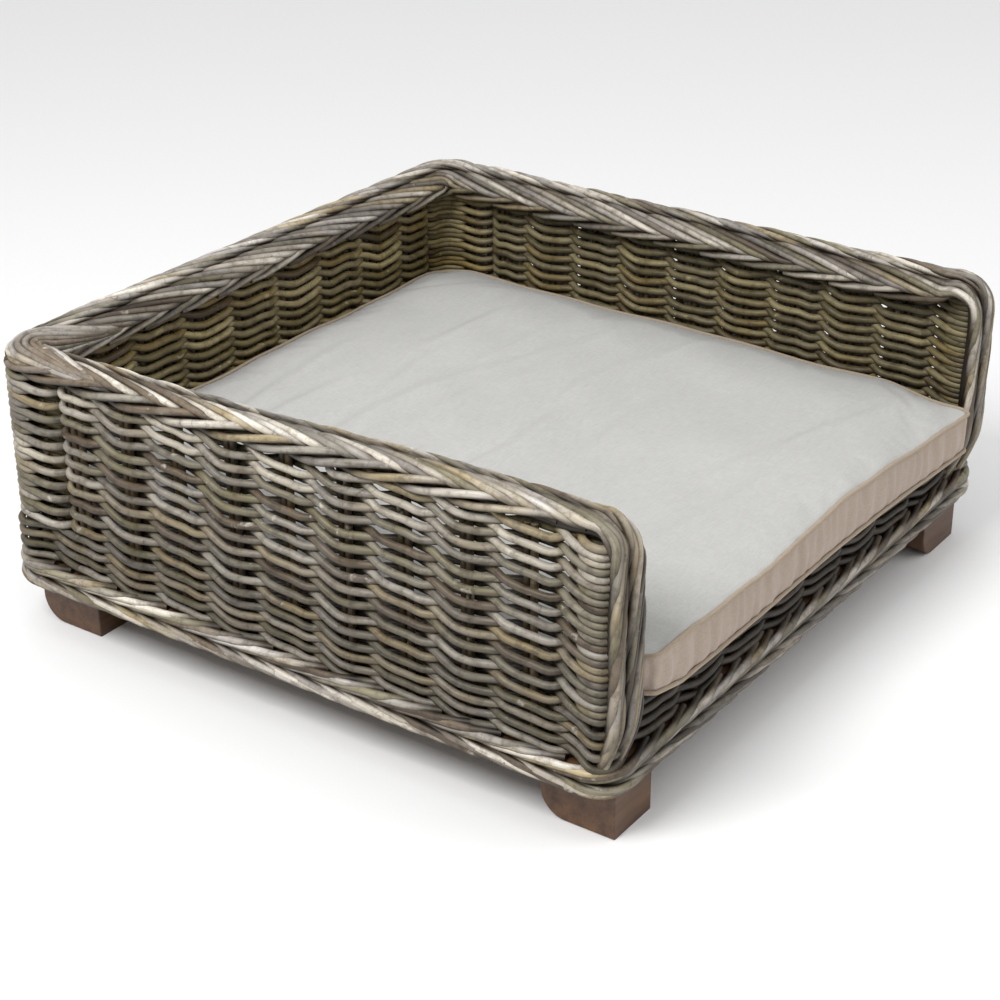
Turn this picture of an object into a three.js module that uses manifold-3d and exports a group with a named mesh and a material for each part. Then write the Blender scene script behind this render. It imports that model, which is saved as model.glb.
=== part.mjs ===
// Wicker pet bed basket: three high walls and a low front apron twined from rattan cane, plaited borders
// round the rim, the front ends and the foot, a slatted timber deck on four block feet, and a boxed
// mattress that lifts out. Millimetres, +Z up, open front at -Y, the feet stand on z = 0.
import * as THREE from "three";
import { mergeVertices } from "three/addons/utils/BufferGeometryUtils.js";
import Module from "manifold-3d";

const wasm = await Module();
wasm.setup();

// Driving dimensions
const WIDTH = 900; // outside the plaited borders, left to right
const DEPTH = 870; // outside the plaited borders, front to back
const RIM_TOP = 362; // highest point of the rim border
const GAP = 0.3; // clearance between pieces that touch

// Timber base
const FOOT_HEIGHT = 60;
const FOOT_LENGTH = 92; // along the side with the rounded lower edge
const FOOT_WIDTH = 72;
const FOOT_ROUND = 32; // radius of the one rounded lower edge
const FOOT_EASE = 1.5; // eased edges
const FOOT_INSET_SIDE = 35;
const FOOT_INSET_FRONT = 16;
const FOOT_INSET_BACK = 34;
const BOLT_INSET = 46; // foot bolt to the outside of the side borders
const RAIL_TOP = 92;
const RAIL_INSET = 14;
const RAIL_WIDTH = 40;
const BOLT_FROM_FOOT_FRONT = 30;
const BOLT_HEAD = 18; // depth of the counterbore under each foot
const DECK_TOP = 142;
const SLAT_THICKNESS = 11.7;
const SLAT_WIDTH = 62;
const SLAT_COUNT = 9;
const SLAT_HALF_LENGTH = 409;
const SLAT_SPAN = 728; // first slat centre to last
const BEARER_INSET = 37;
const BEARER_WIDTH = 25;

// Woven walls
const WALL_MIDDLE = 23; // outside of the borders to the middle of the weave
const APRON_SET_BACK = 3; // the apron's weave sits this much further in, behind the front borders
const WEAVE_THICKNESS = 26;
const WEAVE_BOTTOM = 100;
const WEAVE_TOP = 328;
const APRON_TOP = 138;
const STAKE_RADIUS = 4.5;
const STAKE_SPREAD = 4.3; // each stake of a pair, from the middle of the pair
const SIDE_STAKES = { first: -323, pitch: 78, count: 9 }; // along Y
const BACK_STAKES = { first: -360, pitch: 90, count: 9 }; // along X
const APRON_STAKES = { first: -337, pitch: 92.5, count: 8 }; // along X
const POST_RADIUS = 8;
const POST_SLEEVE = 33; // end post with its cane wraps
const CORNER_SLEEVE = 26;
const END_POST_INSET = 29; // front of the borders to the middle of the end post

// Borders
const RIM_WIDTH = 64;
const RIM_CORNER = 44; // outer corner radius of the rim, seen from above
const RIM_INNER_BOTTOM = 308; // the plait hangs lower on the inside of the wall
const RIM_FRONT = 47; // rim border's front end, where the front border takes over
const RIM_ROD_RADIUS = 7.7;
const RIM_ROD_HEIGHT = 344;
const FOOT_BORDER_THICKNESS = 13.7;
const FOOT_BORDER_BOTTOM = 62;
const FOOT_BORDER_CORNER = 24;
const FRONT_BORDER_THICKNESS = 12.2;

// Mattress
const MATTRESS_HALF_WIDTH = 383;
const MATTRESS_BACK = 365;
const MATTRESS_TOP = 196;
const MATTRESS_CORNER = 30;
const COVER_THICKNESS = 2;
const PIPING_DIAMETER = 4;
const PIPING_TOP_HEIGHT = 187;
const PIPING_BOTTOM_HEIGHT = 145;
const ZIP_HALF_LENGTH = 250;
const ZIP_HEIGHT = 8;
const ZIP_MIDDLE = 165;

const half = { x: WIDTH / 2, y: DEPTH / 2 };
const material = (color, roughness) => new THREE.MeshStandardMaterial({ color, roughness, metalness: 0 });
const materials = {
  cane: () => material(0x8f8674, 0.7),
  rod: () => material(0x6f6350, 0.75),
  timber: () => material(0x5a3d28, 0.6),
  cotton: () => material(0xd9d6cf, 0.9),
  piping: () => material(0xb8a890, 0.9),
  foam: () => material(0xe8e2c8, 0.95),
  nylon: () => material(0xcfc8b8, 0.5),
  steel: () => new THREE.MeshStandardMaterial({ color: 0x9a9a98, roughness: 0.35, metalness: 1 }),
};

const root = new THREE.Group();

function add(name, geometry, finish, parent = root) {
  const mesh = new THREE.Mesh(geometry, finish());
  mesh.name = name;
  parent.add(mesh);
  return mesh;
}

// Solids for joining and cutting
function solid(geometry) {
  const positions = new THREE.BufferGeometry();
  const source = geometry.index ? geometry.toNonIndexed() : geometry;
  positions.setAttribute("position", source.getAttribute("position"));
  const merged = mergeVertices(positions, 1e-4);
  return new wasm.Manifold(
    new wasm.Mesh({
      numProp: 3,
      vertProperties: merged.attributes.position.array,
      triVerts: new Uint32Array(merged.index.array),
    }),
  );
}

function geometryOf(manifold) {
  const mesh = manifold.getMesh();
  const geometry = new THREE.BufferGeometry();
  geometry.setAttribute("position", new THREE.BufferAttribute(new Float32Array(mesh.vertProperties), 3));
  geometry.setIndex(new THREE.BufferAttribute(new Uint32Array(mesh.triVerts), 1));
  geometry.computeVertexNormals();
  return geometry;
}

// Basic forms
const shapeOf = (points) => new THREE.Shape(points.map(([x, y]) => new THREE.Vector2(x, y)));

function prism(shape, bottom, top, curveSegments = 6) {
  const geometry = new THREE.ExtrudeGeometry(shape, { depth: top - bottom, bevelEnabled: false, curveSegments });
  return geometry.translate(0, 0, bottom);
}

function block([x0, x1], [y0, y1], [z0, z1]) {
  const geometry = new THREE.BoxGeometry(x1 - x0, y1 - y0, z1 - z0);
  return geometry.translate((x0 + x1) / 2, (y0 + y1) / 2, (z0 + z1) / 2);
}

function rod(radius, x, y, bottom, top, sides = 12) {
  const geometry = new THREE.CylinderGeometry(radius, radius, top - bottom, sides);
  return geometry.rotateX(Math.PI / 2).translate(x, y, (bottom + top) / 2);
}

function roundedRectangle([x0, x1], [y0, y1], radius) {
  const shape = new THREE.Shape();
  shape.absarc(x1 - radius, y1 - radius, radius, 0, Math.PI / 2);
  shape.absarc(x0 + radius, y1 - radius, radius, Math.PI / 2, Math.PI);
  shape.absarc(x0 + radius, y0 + radius, radius, Math.PI, Math.PI * 1.5);
  shape.absarc(x1 - radius, y0 + radius, radius, Math.PI * 1.5, Math.PI * 2);
  return shape;
}

function circleHole(x, y, radius) {
  const path = new THREE.Path();
  path.absarc(x, y, radius, 0, Math.PI * 2, true);
  return path;
}

// Each wall's group has its own axes: x inwards from the outside of the borders, y along the wall, z up.
const walls = {
  left: { corner: [-half.x, -half.y], turn: 0, length: DEPTH, middle: WALL_MIDDLE },
  back: { corner: [-half.x, half.y], turn: -Math.PI / 2, length: WIDTH, middle: WALL_MIDDLE },
  right: { corner: [half.x, half.y], turn: Math.PI, length: DEPTH, middle: WALL_MIDDLE },
  front: { corner: [half.x, -half.y], turn: Math.PI / 2, length: WIDTH, middle: WALL_MIDDLE + APRON_SET_BACK },
};
for (const wall of Object.values(walls)) {
  wall.group = new THREE.Group();
  wall.group.position.set(...wall.corner, 0);
  wall.group.rotation.z = wall.turn;
  root.add(wall.group);
}

// Places along each wall, in the wall's own y
const row = ({ first, pitch, count }) => Array.from({ length: count }, (_, i) => first + i * pitch);
walls.left.stakes = row(SIDE_STAKES).map((y) => y + half.y);
walls.right.stakes = row(SIDE_STAKES).map((y) => half.y - y);
walls.back.stakes = row(BACK_STAKES).map((x) => x + half.x);
walls.front.stakes = row(APRON_STAKES).map((x) => half.x - x);
const sleeveEnd = END_POST_INSET + POST_SLEEVE / 2 + GAP;
const cornerEnd = WALL_MIDDLE + CORNER_SLEEVE / 2 + GAP;
walls.left.weave = [sleeveEnd, DEPTH - cornerEnd];
walls.right.weave = [cornerEnd, DEPTH - sleeveEnd];
walls.back.weave = [cornerEnd, WIDTH - cornerEnd];
walls.front.weave = [WALL_MIDDLE + POST_SLEEVE / 2 + GAP, WIDTH - WALL_MIDDLE - POST_SLEEVE / 2 - GAP];

// A bar along a wall with a constant section in (inwards, up). A mitred end is cut at 45 degrees.
function bar(section, [from, to], mitred = {}) {
  const length = to - from;
  const geometry = new THREE.ExtrudeGeometry(section, { depth: length, bevelEnabled: false, curveSegments: 8 });
  const position = geometry.getAttribute("position");
  for (let i = 0; i < position.count; i += 1) {
    const inwards = position.getX(i);
    const atEnd = position.getZ(i) < length / 2;
    if (atEnd && mitred.end) position.setZ(i, inwards);
    if (!atEnd && mitred.start) position.setZ(i, length - inwards);
  }
  return geometry.rotateX(Math.PI / 2).translate(0, to, 0);
}

// The outline of the whole basket seen from above, in a wall's own axes, to round a border's corners
function roundedFootprint(wall, radius) {
  const outline = prism(roundedRectangle([-half.x, half.x], [-half.y, half.y], radius), 0, RIM_TOP + 1, 10);
  wall.group.updateMatrixWorld(true);
  return solid(outline.applyMatrix4(wall.group.matrixWorld.clone().invert()));
}

// Feet: one block pattern, turned so that its rounded lower edge faces as each foot's does
function footGeometry() {
  const e = FOOT_EASE;
  const shape = new THREE.Shape();
  shape.moveTo(e, e);
  shape.lineTo(FOOT_LENGTH - FOOT_ROUND, e);
  shape.absarc(FOOT_LENGTH - FOOT_ROUND, FOOT_ROUND, FOOT_ROUND - e, -Math.PI / 2, 0);
  shape.lineTo(FOOT_LENGTH - e, FOOT_HEIGHT - e);
  shape.lineTo(e, FOOT_HEIGHT - e);
  const body = new THREE.ExtrudeGeometry(shape, {
    depth: FOOT_WIDTH - 2 * e,
    bevelSize: e,
    bevelThickness: e,
    bevelSegments: 2,
    curveSegments: 8,
  });
  return body.translate(0, 0, e);
}

function addFoot(name, x, y, roundedTowards, boltX, boltY) {
  const [dx, dy] = roundedTowards;
  const along = new THREE.Vector3(dx, dy, 0);
  const up = new THREE.Vector3(0, 0, 1);
  const across = new THREE.Vector3().crossVectors(along, up);
  const place = new THREE.Matrix4().makeBasis(along, up, across).setPosition(x, y, 0);
  const counterbore = solid(rod(6.5, boltX, boltY, -1, BOLT_HEAD, 16));
  const bore = solid(rod(4, boltX, boltY, -1, FOOT_HEIGHT + 1)).add(counterbore);
  add(`foot_${name}`, geometryOf(solid(footGeometry().applyMatrix4(place)).subtract(bore)), materials.timber);

  const head = solid(rod(6, boltX, boltY, BOLT_HEAD - 6, BOLT_HEAD - GAP, 16));
  const shank = solid(rod(3.7, boltX, boltY, BOLT_HEAD - 1, RAIL_TOP - 4));
  add(`foot_bolt_${name}`, geometryOf(head.add(shank)), materials.steel);
}

const footX = half.x - FOOT_INSET_SIDE;
const footFront = -half.y + FOOT_INSET_FRONT;
const footBack = half.y - FOOT_INSET_BACK;
const boltX = half.x - BOLT_INSET;
const boltFront = footFront + BOLT_FROM_FOOT_FRONT;
const boltBack = footBack - FOOT_LENGTH + BOLT_FROM_FOOT_FRONT;
addFoot("front_left", -footX, footFront, [0, 1], -boltX, boltFront);
addFoot("back_left", -footX, footBack - FOOT_LENGTH, [0, 1], -boltX, boltBack);
addFoot("front_right", footX, footFront, [-1, 0], boltX, boltFront);
addFoot("back_right", footX - FOOT_WIDTH, footBack - FOOT_LENGTH, [0, 1], boltX, boltBack);

// Base rails: the side rails run the full depth and take the foot bolts
const railInner = RAIL_INSET + RAIL_WIDTH;
const railZ = [FOOT_HEIGHT + GAP, RAIL_TOP - GAP];
for (const [side, sign] of [["left", -1], ["right", 1]]) {
  const edges = [sign * (half.x - RAIL_INSET), sign * (half.x - railInner)];
  const outline = roundedRectangle(
    [Math.min(...edges), Math.max(...edges)],
    [-half.y + RAIL_INSET, half.y - RAIL_INSET],
    8,
  );
  outline.holes.push(circleHole(sign * boltX, boltFront, 4), circleHole(sign * boltX, boltBack, 4));
  add(`base_rail_${side}`, prism(outline, ...railZ, 5), materials.timber);
}
const crossRailX = [-half.x + railInner + GAP, half.x - railInner - GAP];
add("base_rail_front", block(crossRailX, [-half.y + RAIL_INSET, -half.y + railInner], railZ), materials.timber);
add("base_rail_back", block(crossRailX, [half.y - railInner, half.y - RAIL_INSET], railZ), materials.timber);

// Deck bearers and slats
const bearerTop = DECK_TOP - SLAT_THICKNESS - GAP;
const bearerInner = BEARER_INSET + BEARER_WIDTH;
const bearerY = [-half.y + BEARER_INSET, half.y - BEARER_INSET];
const leftBearerX = [-half.x + BEARER_INSET, -half.x + bearerInner];
const rightBearerX = [half.x - bearerInner, half.x - BEARER_INSET];
const shorterY = bearerY.map((y) => y - Math.sign(y) * (POST_SLEEVE - CORNER_SLEEVE + 5));
add("deck_bearer_left", block(leftBearerX, shorterY, [RAIL_TOP, bearerTop]), materials.timber);
add("deck_bearer_right", block(rightBearerX, shorterY, [RAIL_TOP, bearerTop]), materials.timber);
const middleBearerY = [-half.y + railInner + GAP, half.y - railInner - GAP];
add("deck_bearer_middle", block([-12, 12], middleBearerY, [railZ[0], bearerTop]), materials.timber);
for (let i = 0; i < SLAT_COUNT; i += 1) {
  const y = -SLAT_SPAN / 2 + (i * SLAT_SPAN) / (SLAT_COUNT - 1);
  const slat = roundedRectangle(
    [-SLAT_HALF_LENGTH, SLAT_HALF_LENGTH],
    [y - SLAT_WIDTH / 2, y + SLAT_WIDTH / 2],
    4,
  );
  add(`deck_slat_${i + 1}`, prism(slat, DECK_TOP - SLAT_THICKNESS, DECK_TOP, 2), materials.timber);
}

// Walls: a comb of stake pairs on a bottom batten, and the twined weave with a hole for each pair
function stakeComb(wall, top) {
  const batten = block([wall.middle - 9, wall.middle + 9], wall.weave, [RAIL_TOP, WEAVE_BOTTOM - GAP]);
  const pairs = wall.stakes.map((y) => {
    const first = solid(rod(STAKE_RADIUS, wall.middle, y - STAKE_SPREAD, RAIL_TOP + 4, top, 8));
    return first.add(solid(rod(STAKE_RADIUS, wall.middle, y + STAKE_SPREAD, RAIL_TOP + 4, top, 8)));
  });
  return geometryOf(pairs.reduce((comb, pair) => comb.add(pair), solid(batten)));
}

function weave(wall, top) {
  const faces = [wall.middle - WEAVE_THICKNESS / 2, wall.middle + WEAVE_THICKNESS / 2];
  const outline = shapeOf([
    [faces[0], wall.weave[0]],
    [faces[1], wall.weave[0]],
    [faces[1], wall.weave[1]],
    [faces[0], wall.weave[1]],
  ]);
  for (const y of wall.stakes) {
    const radius = STAKE_RADIUS + 0.5;
    const hole = new THREE.Path();
    hole.absarc(wall.middle, y + STAKE_SPREAD, radius, 0, Math.PI);
    hole.absarc(wall.middle, y - STAKE_SPREAD, radius, Math.PI, Math.PI * 2);
    outline.holes.push(hole);
  }
  return prism(outline, WEAVE_BOTTOM, top, 4);
}

for (const [side, wall] of Object.entries(walls)) {
  const top = side === "front" ? APRON_TOP : WEAVE_TOP;
  add(`stakes_${side}`, stakeComb(wall, top - GAP), materials.rod, wall.group);
  add(`weave_${side}`, weave(wall, top - GAP), materials.cane, wall.group);
}

// Posts and the cane wrapped round them
function addPost(place, x, y, sleeveSize) {
  const reach = sleeveSize / 2;
  const sleeve = roundedRectangle([x - reach, x + reach], [y - reach, y + reach], reach * 0.6);
  sleeve.holes.push(circleHole(x, y, POST_RADIUS + GAP));
  add(`post_${place}`, rod(POST_RADIUS, x, y, RAIL_TOP, WEAVE_TOP - GAP), materials.rod);
  add(`post_wrap_${place}`, prism(sleeve, RAIL_TOP + GAP, WEAVE_TOP - GAP), materials.cane);
}

const postX = half.x - WALL_MIDDLE;
addPost("front_left", -postX, -half.y + END_POST_INSET, POST_SLEEVE);
addPost("front_right", postX, -half.y + END_POST_INSET, POST_SLEEVE);
addPost("back_left", -postX, half.y - WALL_MIDDLE, CORNER_SLEEVE);
addPost("back_right", postX, half.y - WALL_MIDDLE, CORNER_SLEEVE);

// Rim border: a rounded band over the wall top that hangs lower inside, with a channel for the rim rod
function rimSection() {
  const innerFace = WALL_MIDDLE + WEAVE_THICKNESS / 2 + GAP;
  const section = new THREE.Shape();
  section.moveTo(3, WEAVE_TOP);
  section.lineTo(innerFace, WEAVE_TOP);
  section.lineTo(innerFace, RIM_INNER_BOTTOM);
  section.lineTo(RIM_WIDTH - 5, RIM_INNER_BOTTOM);
  section.lineTo(RIM_WIDTH, RIM_INNER_BOTTOM + 6);
  section.quadraticCurveTo(RIM_WIDTH, RIM_TOP, WALL_MIDDLE + 12, RIM_TOP);
  section.quadraticCurveTo(0, RIM_TOP, 0, WEAVE_TOP + 4);
  section.holes.push(circleHole(WALL_MIDDLE, RIM_ROD_HEIGHT, RIM_ROD_RADIUS + GAP));
  return section;
}

function roundedBar(wall, section, span, mitred, radius) {
  return geometryOf(solid(bar(section, span, mitred)).intersect(roundedFootprint(wall, radius)));
}

const rodClear = WALL_MIDDLE + RIM_ROD_RADIUS + 2;
const rims = {
  left: { span: [RIM_FRONT + GAP, DEPTH], mitred: { end: true }, rod: [RIM_FRONT + 1, DEPTH - rodClear] },
  back: { span: [0, WIDTH], mitred: { start: true, end: true }, rod: [rodClear, WIDTH - rodClear] },
  right: { span: [0, DEPTH - RIM_FRONT - GAP], mitred: { start: true }, rod: [rodClear, DEPTH - RIM_FRONT - 1] },
};
for (const [side, rim] of Object.entries(rims)) {
  const wall = walls[side];
  const border = roundedBar(wall, rimSection(), rim.span, rim.mitred, RIM_CORNER);
  add(`rim_border_${side}`, border, materials.cane, wall.group);
  const rimRod = rod(RIM_ROD_RADIUS, 0, 0, ...rim.rod, 10).rotateX(-Math.PI / 2);
  const placed = add(`rim_rod_${side}`, rimRod, materials.rod, wall.group);
  placed.position.set(WALL_MIDDLE, 0, RIM_ROD_HEIGHT);
}

// Foot border: a plaited lip round the base rails, just below the weave
for (const [side, wall] of Object.entries(walls)) {
  const thickness = FOOT_BORDER_THICKNESS;
  const section = shapeOf([
    [2, FOOT_BORDER_BOTTOM],
    [thickness, FOOT_BORDER_BOTTOM],
    [thickness, RAIL_TOP - GAP],
    [2, RAIL_TOP - GAP],
    [0, RAIL_TOP - 6],
    [0, FOOT_BORDER_BOTTOM + 5],
  ]);
  const mitred = { start: true, end: true };
  const border = roundedBar(wall, section, [0, wall.length], mitred, FOOT_BORDER_CORNER);
  add(`foot_border_${side}`, border, materials.cane, wall.group);
}

// Front borders: the rim plait turns down over a rounded corner and covers the wall's front end
function frontBorder(toWall) {
  const outerRadius = RIM_FRONT;
  const shape = new THREE.Shape();
  const points = new THREE.Path();
  points.moveTo(0, RAIL_TOP + GAP);
  points.lineTo(0, RIM_TOP - outerRadius);
  points.absarc(outerRadius, RIM_TOP - outerRadius, outerRadius, Math.PI, Math.PI / 2, true);
  points.lineTo(outerRadius, WEAVE_TOP);
  points.lineTo(FRONT_BORDER_THICKNESS, WEAVE_TOP);
  points.lineTo(FRONT_BORDER_THICKNESS, RAIL_TOP + GAP);
  shape.setFromPoints(points.getPoints(8).map((p) => new THREE.Vector2(toWall(p.x), p.y)));
  const geometry = new THREE.ExtrudeGeometry(shape, { depth: RIM_WIDTH, bevelEnabled: false });
  const axes = new THREE.Matrix4().makeBasis(
    new THREE.Vector3(0, 1, 0),
    new THREE.Vector3(0, 0, 1),
    new THREE.Vector3(1, 0, 0),
  );
  return geometry.applyMatrix4(axes);
}
add("front_border_left", frontBorder((t) => t), materials.cane, walls.left.group);
add("front_border_right", frontBorder((t) => DEPTH - t), materials.cane, walls.right.group);

// Mattress: foam core, cotton cover with a zip slot in its back, two piping cords, zip chain and slider
function mattressOutline(grow) {
  return roundedRectangle(
    [-MATTRESS_HALF_WIDTH - grow, MATTRESS_HALF_WIDTH + grow],
    [-half.y - grow, MATTRESS_BACK + grow],
    MATTRESS_CORNER + grow,
  );
}

const mattress = new THREE.Group();
root.add(mattress);
const coverBottom = DECK_TOP + GAP;
const sewn = -PIPING_DIAMETER;
const coverOuter = solid(prism(mattressOutline(sewn), coverBottom, MATTRESS_TOP));
const coverInner = solid(
  prism(mattressOutline(sewn - COVER_THICKNESS), coverBottom + COVER_THICKNESS, MATTRESS_TOP - COVER_THICKNESS),
);
const coverBack = MATTRESS_BACK + sewn;
const zipZ = [ZIP_MIDDLE - ZIP_HEIGHT / 2, ZIP_MIDDLE + ZIP_HEIGHT / 2];
const zipSlot = solid(
  block([-ZIP_HALF_LENGTH, ZIP_HALF_LENGTH], [coverBack - COVER_THICKNESS - 1, coverBack + 1], zipZ),
);
add("mattress_cover", geometryOf(coverOuter.subtract(coverInner).subtract(zipSlot)), materials.cotton, mattress);
const foamGap = sewn - COVER_THICKNESS - GAP;
const foam = prism(
  mattressOutline(foamGap),
  coverBottom + COVER_THICKNESS + GAP,
  MATTRESS_TOP - COVER_THICKNESS - GAP,
);
add("mattress_foam", foam, materials.foam, mattress);

function piping(height) {
  const ring = mattressOutline(0);
  ring.holes.push(mattressOutline(sewn + GAP));
  return prism(ring, height - PIPING_DIAMETER / 2, height + PIPING_DIAMETER / 2);
}
add("mattress_piping_top", piping(PIPING_TOP_HEIGHT), materials.piping, mattress);
add("mattress_piping_bottom", piping(PIPING_BOTTOM_HEIGHT), materials.piping, mattress);

const zipChain = block(
  [-ZIP_HALF_LENGTH + GAP, ZIP_HALF_LENGTH - GAP],
  [coverBack - COVER_THICKNESS + GAP, coverBack - GAP],
  [zipZ[0] + GAP, zipZ[1] - GAP],
);
add("zip_chain", zipChain, materials.nylon, mattress);

// Slider body with its pull hanging below, closed end of the zip at -X
const sliderOutline = shapeOf([
  [-6, 5],
  [6, 5],
  [6, -5],
  [2.5, -6],
  [2.5, -16],
  [-2.5, -16],
  [-2.5, -6],
  [-6, -5],
]);
const sliderBody = new THREE.ExtrudeGeometry(sliderOutline, { depth: 3, bevelEnabled: false }).rotateX(Math.PI / 2);
const slider = add("zip_slider", sliderBody, materials.steel, mattress);
slider.position.set(-ZIP_HALF_LENGTH + 12, coverBack + GAP + 3, ZIP_MIDDLE);

export default root;
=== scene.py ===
import math

import bpy
import numpy as np
from mathutils import Euler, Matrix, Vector


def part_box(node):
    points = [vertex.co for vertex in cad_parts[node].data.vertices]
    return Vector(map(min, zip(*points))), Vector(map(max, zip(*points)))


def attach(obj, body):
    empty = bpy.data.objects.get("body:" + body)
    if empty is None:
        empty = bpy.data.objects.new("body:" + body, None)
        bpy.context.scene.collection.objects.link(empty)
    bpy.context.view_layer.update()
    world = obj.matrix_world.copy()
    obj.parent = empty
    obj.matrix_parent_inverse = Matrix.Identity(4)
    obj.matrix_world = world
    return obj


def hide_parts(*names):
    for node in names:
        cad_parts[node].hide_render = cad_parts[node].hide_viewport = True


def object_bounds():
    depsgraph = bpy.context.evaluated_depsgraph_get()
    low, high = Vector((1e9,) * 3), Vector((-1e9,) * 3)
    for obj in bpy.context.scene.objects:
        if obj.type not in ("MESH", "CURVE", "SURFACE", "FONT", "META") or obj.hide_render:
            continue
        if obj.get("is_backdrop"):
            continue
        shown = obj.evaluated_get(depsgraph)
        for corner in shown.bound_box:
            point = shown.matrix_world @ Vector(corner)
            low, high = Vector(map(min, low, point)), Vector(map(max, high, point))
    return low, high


# Wicker pet bed basket. Metres, the row frame: open front at -Y, floor at z = 0.
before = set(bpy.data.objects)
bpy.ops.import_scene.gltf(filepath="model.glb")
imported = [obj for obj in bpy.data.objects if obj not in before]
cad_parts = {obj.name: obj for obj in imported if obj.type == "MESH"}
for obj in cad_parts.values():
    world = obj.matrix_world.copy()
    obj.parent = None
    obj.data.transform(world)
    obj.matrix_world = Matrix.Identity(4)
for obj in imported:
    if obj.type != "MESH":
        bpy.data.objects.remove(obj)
cad_low, cad_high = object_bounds()
rng = np.random.default_rng(11)
UP = np.array([0.0, 0.0, 1.0])


def mm(*values):
    return np.array(values, float) * 0.001


def clamp(t):
    return np.clip(t, 0, 1)


def ease(t):
    """0 to 1 with level ends, as t goes from 0 to 1 and beyond either."""
    t = clamp(t)
    return t * t * (3 - 2 * t)


def unit(v):
    return v / np.maximum(np.linalg.norm(v, axis=-1, keepdims=True), 1e-12)


def run_length(points):
    """How far along a line of points each one lies."""
    return np.concatenate([[0], np.cumsum(np.linalg.norm(np.diff(points, axis=0), axis=1))])


def read_at(places, known, table):
    """Rows of a table, known at some places, at other places."""
    return np.stack([np.interp(places, known, column) for column in table.T], axis=-1)


# ---- materials
def node_material(name, **constants):
    """A material, its node tree and its shader, whose own sockets take the constants."""
    material = bpy.data.materials.new(name)
    material.use_nodes = True
    tree = material.node_tree
    shader = tree.nodes["Principled BSDF"]
    for key, value in constants.items():
        shader.inputs[key.replace("_", " ")].default_value = value
    return material, tree, shader


def make(tree, kind, **settings):
    node = tree.nodes.new(kind)
    for key, value in settings.items():
        setattr(node, key, value)
    return node


def ramp(tree, source, stops):
    node = make(tree, "ShaderNodeValToRGB")
    while len(node.color_ramp.elements) < len(stops):
        node.color_ramp.elements.new(0.5)
    for element, (place, color) in zip(node.color_ramp.elements, stops):
        element.position = place
        element.color = (*color, 1)
    tree.links.new(source, node.inputs["Fac"])
    return node.outputs["Color"]


def value_math(tree, operation, first, second=0.0, third=0.0):
    node = make(tree, "ShaderNodeMath", operation=operation)
    for socket, item in zip(node.inputs, (first, second, third)):
        if isinstance(item, (int, float)):
            socket.default_value = item
        else:
            tree.links.new(item, socket)
    return node.outputs[0]


def mix(tree, factor, first, second, blend="MIX"):
    node = make(tree, "ShaderNodeMix", data_type="RGBA", blend_type=blend)
    for index, item in ((0, factor), (6, first), (7, second)):
        if isinstance(item, (int, float)):
            node.inputs[index].default_value = item
        elif isinstance(item, tuple):
            node.inputs[index].default_value = (*item, 1)
        else:
            tree.links.new(item, node.inputs[index])
    return node.outputs[2]


def shade(tree, amount, color, source, stops):
    """Multiplies a colour by a ramp of another value."""
    return mix(tree, amount, color, ramp(tree, source, stops), "MULTIPLY")


def attribute(tree, name, output="Fac"):
    return make(tree, "ShaderNodeAttribute", attribute_name=name).outputs[output]


def noise(tree, vector, scale, detail=3.0, roughness=0.55, stretch=(1, 1, 1)):
    mapping = make(tree, "ShaderNodeMapping")
    mapping.inputs["Scale"].default_value = stretch
    tree.links.new(vector, mapping.inputs["Vector"])
    node = make(tree, "ShaderNodeTexNoise")
    node.inputs["Scale"].default_value = scale
    node.inputs["Detail"].default_value = detail
    node.inputs["Roughness"].default_value = roughness
    tree.links.new(mapping.outputs["Vector"], node.inputs["Vector"])
    return node.outputs["Fac"]


def bump(tree, shader, height, strength, distance):
    node = make(tree, "ShaderNodeBump")
    node.inputs["Strength"].default_value = strength
    node.inputs["Distance"].default_value = distance
    tree.links.new(height, node.inputs["Height"])
    tree.links.new(node.outputs["Normal"], shader.inputs["Normal"])


# Painted light from above: a cane's colour is multiplied by this, from the side facing down to the one
# facing up
PAINTED_LIGHT_FROM_ABOVE = [(0.12, (0.2, 0.17, 0.13)), (0.54, (0.86, 0.85, 0.83)), (0.93, (1.2, 1.21, 1.22))]
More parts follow.
